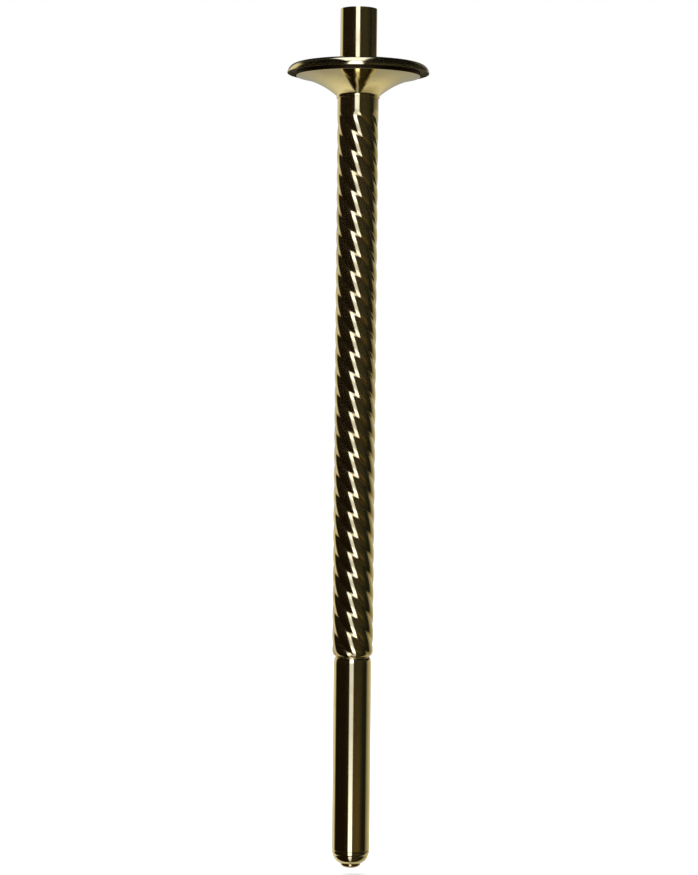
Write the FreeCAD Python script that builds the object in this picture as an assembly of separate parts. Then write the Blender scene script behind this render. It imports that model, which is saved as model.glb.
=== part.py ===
"""Altar candlestick with a twisted brass stem and a plain handle that plugs into a holder.

Every piece is a turned, spun or drawn brass part threaded on one long steel tie rod.
Millimetres; +Z up along the stem; the origin is at the lowest point of the tip button.
The front of the candlestick is towards -Y.
"""
import FreeCAD
import Part
import math
import os

# ---- heights of the visible stretches, from the tip upwards -------------------------------
button_height = 3.3          # head of the end button
end_washer_thickness = 0.8   # thin washer above the button
dome_height = 8.6            # dome of the end cap
bead_height = 4.3            # bead of the end cap
handle_length = 180.0        # plain handle
neck_gap = 1.2               # bottom of the neck groove
twist_length = 507.0         # spiral stretch of the stem
plain_length = 12.0          # plain stretch of the stem below the bell
socket_rise = 60.0           # candle socket's mouth above the pan's lip

# ---- stem and handle ----------------------------------------------------------------------
stem_radius = 19.05          # crests of the twist, and the plain stretch
stem_wall = 4.05             # from the crests to the bore
handle_wall = 2.5            # wall of the handle's tube
neck_wall = 0.8              # brass left round the bore in the neck groove
groove_count = 6             # spiral grooves
groove_depth = 0.85          # crest to valley, along the radius
valley_share = 0.2           # share of the way from a crest to a valley that the hollow takes
twist_lead = 111.3           # one full left-hand turn
twist_fade = 9.0             # grooves run out over this length at the top
twist_start_angle = 36.0     # degrees, where a groove meets the neck
handle_shoulder_length = 8.0  # rounded end of the handle at the neck groove
twist_shoulder_length = 6.0  # rounded end of the twist at the neck groove
collar_overlap = 8.5         # stem end stands this far inside the bell's collar
trimmed_length = 18.0        # the stem's surface is made this much too long, and its end cut off
points_per_lobe = 10
sections_per_turn = 12
ellipse_steps = 8            # points along a quarter ellipse

# ---- end cap and button -------------------------------------------------------------------
bead_step = 0.9              # bead's edges inside the handle's surface
bead_bulge = 0.8             # height of the bead's arc over its chord
dome_bulge = 1.7             # height of the dome's arc over its chord
dome_foot_step = 0.2         # dome's foot inside the button's edge
button_radius = 9.4
button_flat_radius = 3.0
button_boss_wall = 2.5       # brass round the button's blind thread
button_boss_length = 8.0
button_skin = 1.6            # brass left under the button's blind thread
plug_length = 14.0           # spigot of each plug inside a tube
neck_spigot_length = 30.0    # spigots of the neck plug, one in each tube

# ---- pan and bell -------------------------------------------------------------------------
lip_radius = 66.0
rim_reach = 10.0             # rim's quarter ellipse, outwards from its top to the lip
rim_height = 8.6             # top of the rim above the lip
pan_floor_height = 3.0       # upper face of the pan's floor above the lip
dish_turn = 60.0             # degrees turned by each of the two arcs of the dish's wall
sheet_thickness = 1.3        # spun sheet of the pan
bell_inset = 8.4             # bell's rim inside the pan's lip
bell_edge_drop = 2.6         # lower edge of the bell's rim below the pan's lip
bell_flare_angle = 10.0      # slope of the flare at the bell's rim, degrees from level
bell_throat_angle = 40.0     # slope of the flare where the throat's small arc begins
throat_radius = 3.0          # small arc between the flare and the collar
collar_wall = 0.9            # collar of the bell round the stem
collar_length = 0.9          # straight end of the collar, below the throat
bell_wall = 2.0
bell_web_thickness = 2.5     # web inside the bell that sits on the stem plug
stem_plug_flange = 3.0       # flange of the stem plug above the stem's end
plug_boss_wall = 5.6         # boss of the stem plug, round the rod's hole

# ---- candle socket ------------------------------------------------------------------------
candle_radius = 15.875
socket_wall = 1.0
socket_ledge = 0.6           # bore of the foot is this much narrower than the candle's bore
socket_rim_radius = 0.4
socket_base_thickness = 7.0
socket_washer_thickness = 1.2
socket_washer_reach = 3.5    # washer's edge outside the socket
socket_washer_lap = 2.4      # washer's bore inside the foot's bore

# ---- rod, nut and washer ------------------------------------------------------------------
rod_radius = 4.0
rod_end_gap = 0.6            # rod's ends to the bottoms of the blind threads
nut_wall = 2.5               # from the rod to the nut's flats
nut_thickness = 4.4
nut_washer_reach = 2.5       # washer's edge outside the nut's corners
nut_washer_thickness = 1.2
nut_headroom = 1.9           # nut's top to the underside of the socket's base

# ---- clearances ---------------------------------------------------------------------------
thread_clearance = 0.05      # radial, between the rod and a thread that turns on it
slip_clearance = 0.05        # radial, between a plug and its tube
turning_clearance = 0.3      # radial, between the button's boss and the end cap
rod_clearance = 0.4          # radial, round the rod in a plain hole
candle_clearance = 0.125     # radial, round the candle

# ---- radii worked out from the walls and clearances -----------------------------------------
tube_bore_radius = stem_radius - stem_wall
handle_radius = tube_bore_radius + handle_wall
neck_radius = tube_bore_radius + neck_wall
spigot_radius = tube_bore_radius - slip_clearance
thread_radius = rod_radius + thread_clearance
rod_clear_radius = rod_radius + rod_clearance
bead_edge_radius = handle_radius - bead_step
dome_foot_radius = button_radius - dome_foot_step
button_boss_radius = rod_radius + button_boss_wall
boss_pocket_radius = button_boss_radius + turning_clearance
plug_boss_radius = rod_clear_radius + plug_boss_wall
rim_top_radius = lip_radius - rim_reach
bell_edge_radius = lip_radius - bell_inset
collar_bore_radius = stem_radius + slip_clearance
collar_radius = collar_bore_radius + collar_wall
socket_bore_radius = candle_radius + candle_clearance
socket_radius = socket_bore_radius + socket_wall
socket_foot_radius = socket_bore_radius - socket_ledge
socket_washer_radius = socket_radius + socket_washer_reach
socket_washer_bore = socket_foot_radius - socket_washer_lap
nut_corner_radius = (rod_radius + nut_wall) / math.cos(math.pi / 6)
nut_washer_radius = nut_corner_radius + nut_washer_reach

# ---- the bell's outline, from its rim to the end of its collar ------------------------------
rim_slope = math.radians(bell_flare_angle)
throat_slope = math.radians(bell_throat_angle)
throat_top_radius = collar_radius + throat_radius * (1 - math.sin(throat_slope))
flare_radius = (bell_edge_radius - throat_top_radius) / (math.sin(throat_slope) - math.sin(rim_slope))
flare_drop = flare_radius * (math.cos(rim_slope) - math.cos(throat_slope))
throat_drop = throat_radius * math.cos(throat_slope)
bell_drop = bell_edge_drop + flare_drop + throat_drop + collar_length

# ---- levels worked out from the heights ---------------------------------------------------
z_washer = button_height
z_dome = z_washer + end_washer_thickness
z_bead = z_dome + dome_height
z_handle = z_bead + bead_height
z_neck = z_handle + handle_length
z_twist = z_neck + neck_gap
z_plain = z_twist + twist_length
z_collar = z_plain + plain_length
z_lip = z_collar + bell_drop
z_mouth = z_lip + socket_rise
z_stem_end = z_collar + collar_overlap
z_web = z_stem_end + stem_plug_flange
z_pan_floor = z_lip + pan_floor_height
z_pan_under = z_pan_floor - sheet_thickness
z_socket_foot = z_pan_floor + socket_washer_thickness
z_nut = z_pan_floor + nut_washer_thickness
z_nut_top = z_nut + nut_thickness
z_base = z_nut_top + nut_headroom
z_seat = z_base + socket_base_thickness
z_boss_top = z_washer + button_boss_length
z_rod_low = button_skin + rod_end_gap
z_rod_high = z_seat - rod_end_gap


def point(radius, height):
    """A point of a half section, in the XZ plane."""
    return FreeCAD.Vector(radius, 0, height)


def line(start, end):
    """A straight edge of a half section."""
    return Part.makeLine(point(*start), point(*end))


def polyline(*corners):
    """Straight edges through the corners."""
    return [line(start, end) for start, end in zip(corners, corners[1:])]


def bent_arc(start, heading, end_heading, radius):
    """An arc that leaves start along heading and ends along end_heading, and its end.

    Headings are directions of travel, in degrees from outwards, anticlockwise: 180 is inwards
    and 270 is down.
    """
    side = 1 if end_heading > heading else -1
    centre_x = start[0] - side * radius * math.sin(math.radians(heading))
    centre_z = start[1] + side * radius * math.cos(math.radians(heading))

    def at(direction):
        angle = math.radians(direction)
        return (centre_x + side * radius * math.sin(angle), centre_z - side * radius * math.cos(angle))

    end = at(end_heading)
    middle = at((heading + end_heading) / 2)
    return Part.Arc(point(*start), point(*middle), point(*end)).toShape(), end


def bulged_arc(start, end, bulge):
    """An arc from start up to end that stands out from its chord by bulge, away from the axis."""
    reach = math.dist(start, end)
    middle = (
        (start[0] + end[0]) / 2 + bulge * (end[1] - start[1]) / reach,
        (start[1] + end[1]) / 2 - bulge * (end[0] - start[0]) / reach)
    return Part.Arc(point(*start), point(*middle), point(*end)).toShape()


def quarter_ellipse(centre, radius, height, start, end):
    """The quarter of an ellipse from start to end, each a direction (radial, axial) from centre."""
    samples = []
    for step in range(ellipse_steps + 1):
        turn = math.pi / 2 * step / ellipse_steps
        radial = start[0] * math.cos(turn) + end[0] * math.sin(turn)
        axial = start[1] * math.cos(turn) + end[1] * math.sin(turn)
        samples.append(point(centre[0] + radius * radial, centre[1] + height * axial))
    curve = Part.BSplineCurve()
    curve.interpolate(samples)
    return curve.toShape()


def turned(edges):
    """The solid turned from a closed half section about the stem's axis."""
    face = Part.Face(Part.Wire(Part.__sortEdges__(edges)))
    return face.revolve(FreeCAD.Vector(0, 0, 0), FreeCAD.Vector(0, 0, 1), 360)


def ring(inner, outer, low, high):
    """A plain turned ring, or a disc where inner is 0."""
    height = high - low
    base = FreeCAD.Vector(0, 0, low)
    solid = Part.makeCylinder(outer, height, base)
    if inner > 0:
        solid = solid.cut(Part.makeCylinder(inner, height, base))
    return solid


def end_button():
    """Round button nut at the tip: a rounded head and a boss with a blind thread."""
    bulge_radius = button_radius - button_flat_radius
    edges = [
        quarter_ellipse((button_flat_radius, z_washer), bulge_radius, button_height, (1, 0), (0, -1)),
        line((button_flat_radius, 0), (0, 0)),
    ]
    edges += polyline(
        (0, 0), (0, button_skin), (thread_radius, button_skin), (thread_radius, z_boss_top),
        (button_boss_radius, z_boss_top), (button_boss_radius, z_washer), (button_radius, z_washer))
    return turned(edges)


def end_washer():
    """Thin washer between the button and the end cap."""
    return ring(boss_pocket_radius, dome_foot_radius, z_washer, z_dome)


def end_cap():
    """Turned end of the handle: dome, bead, and a plug up inside the handle tube."""
    pocket_top = z_boss_top + end_washer_thickness
    plug_top = z_handle + plug_length
    dome_foot = (dome_foot_radius, z_dome)
    bead_low = (bead_edge_radius, z_bead)
    bead_high = (bead_edge_radius, z_handle)
    edges = [
        bulged_arc(dome_foot, bead_low, dome_bulge),
        bulged_arc(bead_low, bead_high, bead_bulge),
    ]
    edges += polyline(
        bead_high, (spigot_radius, z_handle), (spigot_radius, plug_top),
        (rod_clear_radius, plug_top), (rod_clear_radius, pocket_top), (boss_pocket_radius, pocket_top),
        (boss_pocket_radius, z_dome), dome_foot)
    return turned(edges)


def handle_tube():
    """Plain tube, with its upper end rounded into the neck groove."""
    z_shoulder = z_neck - handle_shoulder_length
    depth = handle_radius - neck_radius
    edges = [quarter_ellipse((neck_radius, z_shoulder), depth, handle_shoulder_length, (1, 0), (0, 1))]
    edges += polyline(
        (neck_radius, z_neck), (tube_bore_radius, z_neck), (tube_bore_radius, z_handle),
        (handle_radius, z_handle), (handle_radius, z_shoulder))
    return turned(edges)


def neck_plug():
    """Turned coupler that joins the handle and the twist tube, with the neck ring between them."""
    edges = polyline(
        (rod_clear_radius, z_neck - neck_spigot_length), (spigot_radius, z_neck - neck_spigot_length),
        (spigot_radius, z_neck), (neck_radius, z_neck), (neck_radius, z_twist), (spigot_radius, z_twist),
        (spigot_radius, z_twist + neck_spigot_length), (rod_clear_radius, z_twist + neck_spigot_length),
        (rod_clear_radius, z_neck - neck_spigot_length))
    return turned(edges)


def groove_share(off_crest):
    """Share of the groove's depth at a share of the way from a crest, 0, to a valley, 1."""
    flank = 1 - valley_share
    past_flank = max(0.0, off_crest - flank)
    return (off_crest ** 2 - past_flank ** 2 / valley_share) / flank


def twist_section(height):
    """Closed outline of the twisted stem at a height: one curved edge for each lobe."""
    up = height - z_twist
    shoulder = max(0.0, 1 - up / twist_shoulder_length)
    drop = (stem_radius - neck_radius) * (1 - math.sqrt(1 - shoulder ** 2))
    fade = min(1.0, max(0.0, (z_plain - height) / twist_fade))
    depth = groove_depth * math.sin(fade * math.pi / 2) ** 2
    turn = math.radians(twist_start_angle) - 2 * math.pi * up / twist_lead
    lobe_angle = 2 * math.pi / groove_count
    edges = []
    for lobe in range(groove_count):
        samples = []
        for step in range(points_per_lobe + 1):
            angle = lobe_angle * (lobe + step / points_per_lobe)
            groove = groove_share(abs(2 * step / points_per_lobe - 1))
            radius = max(neck_radius, stem_radius - drop - depth * groove)
            x = radius * math.cos(angle + turn)
            y = radius * math.sin(angle + turn)
            samples.append(FreeCAD.Vector(x, y, height))
        curve = Part.BSplineCurve()
        curve.interpolate(samples)
        edges.append(curve.toShape())
    return Part.Wire(edges)


def even_steps(start, end, longest):
    """Heights after start, up to end, evenly spaced and no further apart than longest."""
    count = math.ceil((end - start) / longest)
    return [start + (end - start) * step / count for step in range(1, count + 1)]


def twist_tube():
    """Stem tube: six left-hand spiral grooves that run out into a plain upper end."""
    z_shoulder = z_twist + twist_shoulder_length
    z_fade = z_plain - twist_fade
    heights = [z_twist]
    heights += even_steps(z_twist, z_shoulder, twist_shoulder_length / 6)
    heights += even_steps(z_shoulder, z_fade, twist_lead / sections_per_turn)
    heights += even_steps(z_fade, z_plain, twist_fade / 4)
    heights += even_steps(z_plain, z_stem_end + trimmed_length, twist_fade / 4)
    stem = Part.makeLoft([twist_section(height) for height in heights], True, False)
    return stem.common(ring(tube_bore_radius, 2 * stem_radius, z_twist, z_stem_end))


def top_plug():
    """Turned plug in the stem's upper end; its boss carries the pan and centres the bell."""
    edges = polyline(
        (rod_clear_radius, z_stem_end - plug_length), (spigot_radius, z_stem_end - plug_length),
        (spigot_radius, z_stem_end), (stem_radius, z_stem_end), (stem_radius, z_web),
        (plug_boss_radius, z_web), (plug_boss_radius, z_pan_under), (rod_clear_radius, z_pan_under),
        (rod_clear_radius, z_stem_end - plug_length))
    return turned(edges)


def pan_bell():
    """Trumpet-shaped bell under the pan, with a collar round the stem and a web on the plug."""
    rim_low = (bell_edge_radius, z_lip - bell_edge_drop)
    rim_heading = 180 + bell_flare_angle
    throat_heading = 180 + bell_throat_angle
    flare, throat_top = bent_arc(rim_low, rim_heading, throat_heading, flare_radius)
    throat, collar_top = bent_arc(throat_top, throat_heading, 270, throat_radius)
    inner_radius = flare_radius + bell_wall
    inner_rim = (
        rim_low[0] - bell_wall * math.sin(rim_slope),
        rim_low[1] + bell_wall * math.cos(rim_slope))
    web_top = z_web + bell_web_thickness
    flare_centre_z = rim_low[1] - flare_radius * math.cos(rim_slope)
    web_heading = 180 + math.degrees(math.acos((web_top - flare_centre_z) / inner_radius))
    inner_flare, web_edge = bent_arc(inner_rim, rim_heading, web_heading, inner_radius)
    web_hole = plug_boss_radius + slip_clearance
    edges = [flare, throat, inner_flare]
    edges += polyline(
        collar_top, (collar_radius, z_collar), (collar_bore_radius, z_collar), (collar_bore_radius, z_web),
        (web_hole, z_web), (web_hole, web_top), web_edge)
    edges += polyline(
        inner_rim, (inner_rim[0] - bell_wall, inner_rim[1]), (inner_rim[0] - bell_wall, z_pan_under),
        (bell_edge_radius, z_pan_under), rim_low)
    return turned(edges)


def drip_pan():
    """Spun pan: flat floor, dished wall, rounded rim that turns down to a crisp lip."""
    wall_radius = (rim_height - pan_floor_height) / 2 / (1 - math.cos(math.radians(dish_turn)))
    rim_top = (rim_top_radius, z_lip + rim_height)
    rim_under = (rim_top_radius, rim_top[1] - sheet_thickness)
    upper_fall, upper_knee = bent_arc(rim_top, 180, 180 + dish_turn, wall_radius)
    upper_foot, floor_edge = bent_arc(upper_knee, 180 + dish_turn, 180, wall_radius)
    under_fall, under_knee = bent_arc(rim_under, 180, 180 + dish_turn, wall_radius - sheet_thickness)
    under_foot, under_edge = bent_arc(under_knee, 180 + dish_turn, 180, wall_radius + sheet_thickness)
    centre = (rim_top_radius, z_lip)
    edges = [
        quarter_ellipse(centre, rim_reach, rim_height, (1, 0), (0, 1)),
        quarter_ellipse(centre, rim_reach - sheet_thickness, rim_height - sheet_thickness, (1, 0), (0, 1)),
        upper_fall, upper_foot, under_fall, under_foot,
    ]
    edges += polyline((lip_radius - sheet_thickness, z_lip), (lip_radius, z_lip))
    edges += polyline(
        floor_edge, (rod_clear_radius, z_pan_floor), (rod_clear_radius, z_pan_under), under_edge)
    return turned(edges)


def pan_nut_washer():
    """Washer on the pan's floor, under the nut."""
    return ring(rod_clear_radius, nut_washer_radius, z_pan_floor, z_nut)


def pan_nut():
    """Thin hexagon nut that clamps the pan, the bell and the tubes on the rod."""
    corners = []
    for corner in range(7):
        angle = math.pi / 3 * corner
        x = nut_corner_radius * math.cos(angle)
        y = nut_corner_radius * math.sin(angle)
        corners.append(FreeCAD.Vector(x, y, z_nut))
    prism = Part.Face(Part.makePolygon(corners)).extrude(FreeCAD.Vector(0, 0, nut_thickness))
    return prism.cut(ring(0, rod_radius, z_nut, z_nut_top))


def socket_washer():
    """Wide washer between the candle socket's foot and the pan's floor."""
    return ring(socket_washer_bore, socket_washer_radius, z_pan_floor, z_socket_foot)


def candle_socket():
    """Tube that holds the candle: a narrower bore in its foot, and its mouth's edges rounded."""
    tube = ring(socket_foot_radius, socket_radius, z_socket_foot, z_mouth)
    tube = tube.cut(ring(0, socket_bore_radius, z_seat, z_mouth))
    mouth = [edge for edge in tube.Edges if abs(edge.BoundBox.ZMin - z_mouth) < 1e-6]
    return tube.makeFillet(socket_rim_radius, mouth)


def socket_base():
    """Threaded disc fixed in the socket's foot, which screws on to the rod and seats the candle."""
    disc = ring(0, socket_foot_radius, z_base, z_seat)
    return disc.cut(ring(0, thread_radius, z_base, z_rod_high))


def tie_rod():
    """Long threaded rod from the button up into the socket's base."""
    return ring(0, rod_radius, z_rod_low, z_rod_high)


PIECES = {
    "end_button": end_button,
    "end_washer": end_washer,
    "end_cap": end_cap,
    "handle_tube": handle_tube,
    "neck_plug": neck_plug,
    "twist_tube": twist_tube,
    "top_plug": top_plug,
    "pan_bell": pan_bell,
    "drip_pan": drip_pan,
    "pan_nut_washer": pan_nut_washer,
    "pan_nut": pan_nut,
    "socket_washer": socket_washer,
    "candle_socket": candle_socket,
    "socket_base": socket_base,
    "tie_rod": tie_rod,
}

os.makedirs("parts", exist_ok=True)
for name, make in PIECES.items():
    shape = make()
    shape.exportStep(f"parts/{name}.step")
    low = shape.BoundBox.ZMin
    high = shape.BoundBox.ZMax
    print(f"{name:16s} volume {shape.Volume:9.1f}  z {low:7.2f} to {high:7.2f}  valid {shape.isValid()}")
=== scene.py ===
"""Altar candlestick: a twisted brass stem with a drip pan, a candle socket and a plain handle.

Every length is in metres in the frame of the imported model: +Z up along the stem, the origin at
the lowest point of the tip button and the front towards -Y. A point of a half section is a
complex number, its real part the radius and its imaginary part the height.
"""

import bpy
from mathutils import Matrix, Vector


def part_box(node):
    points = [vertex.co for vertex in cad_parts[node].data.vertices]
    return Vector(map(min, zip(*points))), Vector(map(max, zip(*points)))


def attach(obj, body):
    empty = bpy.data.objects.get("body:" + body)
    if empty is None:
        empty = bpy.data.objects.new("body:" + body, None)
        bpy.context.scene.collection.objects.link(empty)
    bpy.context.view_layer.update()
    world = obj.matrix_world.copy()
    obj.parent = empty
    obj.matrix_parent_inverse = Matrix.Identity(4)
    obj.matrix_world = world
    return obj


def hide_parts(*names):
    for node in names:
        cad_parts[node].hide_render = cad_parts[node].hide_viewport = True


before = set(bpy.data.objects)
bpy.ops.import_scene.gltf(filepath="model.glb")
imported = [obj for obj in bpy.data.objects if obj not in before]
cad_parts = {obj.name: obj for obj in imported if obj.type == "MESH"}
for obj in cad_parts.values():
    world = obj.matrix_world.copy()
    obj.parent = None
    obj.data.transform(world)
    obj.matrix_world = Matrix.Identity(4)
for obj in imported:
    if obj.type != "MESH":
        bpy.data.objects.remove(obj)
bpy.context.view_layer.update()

import cmath
import functools
import logging
import math
from collections.abc import Callable, Iterable, Sequence
from dataclasses import asdict, dataclass, field
from enum import Enum

import bmesh
import bpy
from bpy.types import Material, Mesh, Node, NodeSocket, NodeTree
from mathutils import Vector

log = logging.getLogger("candlestick")

Colour = tuple[float, float, float]
Profile = Callable[[float], float]
Pair = tuple[float, float]

MM = 0.001
TURN = 2 * math.pi
SHARP_ANGLE = math.radians(35)
ARC_STEP = math.radians(9)
# most of a side that a rounded corner cuts; how far its support points stand off, as a share of
# that cut, and at most of the side
LARGEST_CUT = 0.3
SUPPORT_CUT = 0.8
SUPPORT_SIDE = 0.15


class Body(Enum):
    """Bodies of the moving model."""

    STEM = "stem"
    SOCKET_RING = "socket_ring"
    SOCKET = "socket"
    TIP_RING = "tip_ring"
    TIP = "tip"


class Slot(Enum):
    """Finishes that the record names."""

    POLISHED = "polished_brass"
    TURNED = "turned_brass"
    STEEL = "plated_steel"


# ---- node trees ----


def wired(operation: str, swapped: bool = False) -> Callable[..., "Number"]:
    """Makes an operator of Number out of a Math node.

    Args:
        operation: The node's operation.
        swapped: Whether the other number comes first.

    Returns:
        The operator.
    """

    def operator(number: "Number", other: "Number | float") -> "Number":
        """The result's wire."""
        terms = (other, number) if swapped else (number, other)
        return number.graph.calc(operation, *terms)

    return operator


class Number:
    """A number on a node tree's wire, which ordinary arithmetic extends."""

    __add__ = wired("ADD")
    __radd__ = wired("ADD", swapped=True)
    __sub__ = wired("SUBTRACT")
    __rsub__ = wired("SUBTRACT", swapped=True)
    __mul__ = wired("MULTIPLY")
    __rmul__ = wired("MULTIPLY", swapped=True)
    __truediv__ = wired("DIVIDE")
    __pow__ = wired("POWER")

    def __init__(self, graph: "Graph", socket: NodeSocket) -> None:
        """Keeps the tree and the wire's end."""
        self.graph = graph
        self.socket = socket

    def clamped(self) -> "Number":
        """The number held between 0 and 1."""
        wire = self.graph.calc("ADD", self, 0.0)
        wire.socket.node.use_clamp = True
        return wire


Term = Number | float


class Graph:
    """A node tree under construction, with short ways to add and join its nodes."""

    def __init__(self, tree: NodeTree) -> None:
        """Empties the tree."""
        self.tree = tree
        tree.nodes.clear()

    def add(self, kind: str, inputs: dict | None = None, **settings: object) -> Node:
        """Adds a node and joins or sets its inputs.

        Args:
            kind: The node's type.
            inputs: Input name or index to a number, a wire, a Number or a plain value.
            settings: Properties of the node itself.

        Returns:
            The new node.
        """
        node = self.tree.nodes.new(kind)
        for name, value in settings.items():
            setattr(node, name, value)
        for key, value in (inputs or {}).items():
            if isinstance(value, Number):
                value = value.socket
            if isinstance(value, NodeSocket):
                self.tree.links.new(value, node.inputs[key])
            else:
                node.inputs[key].default_value = value
        return node

    def calc(self, operation: str, *terms: Term) -> Number:
        """A Math node's result.

        Args:
            operation: The Math node's operation.
            terms: Its numbers, in order.

        Returns:
            The result's wire.
        """
        node = self.add("ShaderNodeMath", dict(enumerate(terms)), operation=operation)
        return Number(self, node.outputs[0])

    def point(self, x: Term, y: Term, z: Term) -> NodeSocket:
        """A vector wire made of three numbers."""
        return self.add("ShaderNodeCombineXYZ", {0: x, 1: y, 2: z}).outputs[0]

    def split(self, vector: NodeSocket) -> list[Number]:
        """The three numbers of a vector wire."""
        node = self.add("ShaderNodeSeparateXYZ", {0: vector})
        return [Number(self, output) for output in node.outputs]

    def ramp(self, value: Number, low: float, high: float) -> Number:
        """A number's place between two bounds, easing in and out.

        Args:
            value: The number.
            low: Where the result is 0.
            high: Where the result is 1.

        Returns:
            The place, from 0 to 1.
        """
        bounds = {0: value, 1: low, 2: high}
        node = self.add("ShaderNodeMapRange", bounds, interpolation_type="SMOOTHSTEP")
        return Number(self, node.outputs[0])

    def noise(self, vector: NodeSocket, scale: float, detail: float = 2.0) -> Number:
        """Smooth noise from 0 to 1 at a number of cells per metre."""
        node = self.add("ShaderNodeTexNoise", {"Vector": vector, "Scale": scale, "Detail": detail})
        return Number(self, node.outputs[0])

    def blend(self, share: Term, first: object, second: object) -> NodeSocket:
        """A colour wire between two colours, by a share from 0 to 1."""
        node = self.add("ShaderNodeMix", {0: share, 6: first, 7: second}, data_type="RGBA")
        return node.outputs[2]


# ---- finishes ----


class PaintedShade(Enum):
    """Faces of a polished piece painted dark as shade, under the pan and on the bell's upright rim."""

    NONE = "none"
    UNDERSIDE = "underside"
    UPRIGHT_RIM = "upright rim"


BRASS = (0.88, 0.74, 0.37)
BROWN_BRASS = (0.42, 0.27, 0.10)
# near-black brown: the painted shade under the pan and on the bell's upright rim
SHADE_BRASS = (0.09, 0.062, 0.025)


@dataclass(frozen=True)
class MetalFinish:
    """A polished or turned metal: fine marks round the axis, uneven gloss, some tarnish, some painted shade.
    """

    name: str
    roughness: float
    gloss_spread: float
    tarnish: float
    mark_pitch: float
    mark_depth: float
    ripple_depth: float = 0.0
    slot: Slot = Slot.POLISHED
    colour: Colour = BRASS
    tarnish_colour: Colour = BROWN_BRASS
    # which faces get dark painted shade; the next three set where it starts, by the normal's lift and the
    # radius
    painted_shade: PaintedShade = PaintedShade.NONE
    underside_lift: Pair = (0.05, 0.25)
    upright_lift: Pair = (0.3, 0.6)
    rim_edge: Pair = (50.0 * MM, 52.0 * MM)

    # scales are in cells per metre
    cloud_scale: float = 38.0
    cloud_edge: Pair = (0.46, 0.74)
    cloud_share: float = 0.6
    smear_scale: float = 60.0
    smear_stretch: float = 5.0
    smear_edge: Pair = (0.55, 0.8)
    ripple_scale: float = 90.0
    marks_per_band: float = 4.0
    band_gloss: float = 0.6
    smear_gloss: float = 0.8
    mean_gloss: float = 0.55
    groove_tarnish: float = 0.8
    stain_roughness: float = 0.12
    # roughness added where the shade is painted
    shade_roughness: float = 0.4

    def shade_share(self, graph: Graph, radius: Number) -> Number:
        """Where the metal is painted dark as shade.

        Args:
            graph: The material's tree.
            radius: Distance from the axis.

        Returns:
            A share from 0, plain brass, to 1, dark painted shade.
        """
        lift = graph.split(graph.add("ShaderNodeNewGeometry").outputs["Normal"])[2]
        if self.painted_shade is PaintedShade.UNDERSIDE:
            return graph.ramp(lift * -1.0, *self.underside_lift)
        if self.painted_shade is PaintedShade.UPRIGHT_RIM:
            upright = 1 - graph.ramp(graph.calc("ABSOLUTE", lift), *self.upright_lift)
            return upright * graph.ramp(radius, *self.rim_edge)
        return lift * 0.0

    @functools.cache
    def material(self) -> Material:
        """Builds the finish's node material.

        Returns:
            The material.
        """
        material = bpy.data.materials.new(self.name)
        material.use_nodes = True
        graph = Graph(material.node_tree)
        where = graph.add("ShaderNodeTexCoord").outputs["Object"]
        x, y, z = graph.split(where)
        radius = graph.calc("SQRT", x * x + y * y)
        across = graph.point(radius, z, 0.0)
        groove = Number(graph, graph.add("ShaderNodeAttribute", attribute_name="groove").outputs["Fac"])
        shade_share = self.shade_share(graph, radius)
        upright = graph.point(x * self.smear_stretch, y * self.smear_stretch, z)
        clouds = graph.noise(where, self.cloud_scale, 4.0)
        smears = graph.noise(upright, self.smear_scale, 3.0)
        bands = graph.noise(across, 1 / (self.marks_per_band * self.mark_pitch))
        patches = (graph.ramp(clouds, *self.cloud_edge) * self.cloud_share
                   + graph.ramp(smears, *self.smear_edge) * (1 - self.cloud_share))
        stain = (patches + groove * self.groove_tarnish) * self.tarnish
        colour = graph.blend(stain.clamped(), (*self.colour, 1.0), (*self.tarnish_colour, 1.0))
        # painted shade: faces under the pan and on the bell's upright rim go dark brown and rougher
        colour = graph.blend(shade_share, colour, (*SHADE_BRASS, 1.0))
        gloss = bands * self.band_gloss + smears * self.smear_gloss - self.mean_gloss
        roughness = (self.roughness + self.gloss_spread * gloss + stain * self.stain_roughness
                     + shade_share * self.shade_roughness).clamped()
        marks = graph.add("ShaderNodeBump", {
            "Distance": self.mark_depth, "Height": graph.noise(across, 1 / self.mark_pitch, 3.0)})
        ripples = graph.add("ShaderNodeBump", {
            "Distance": self.ripple_depth, "Height": graph.noise(where, self.ripple_scale, 1.0),
            "Normal": marks.outputs[0]})
        shader = graph.add("ShaderNodeBsdfPrincipled", {
            "Base Color": colour, "Metallic": 1.0, "Roughness": roughness,
            "Normal": ripples.outputs[0]})
        graph.add("ShaderNodeOutputMaterial", {0: shader.outputs[0]})
        return material


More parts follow.
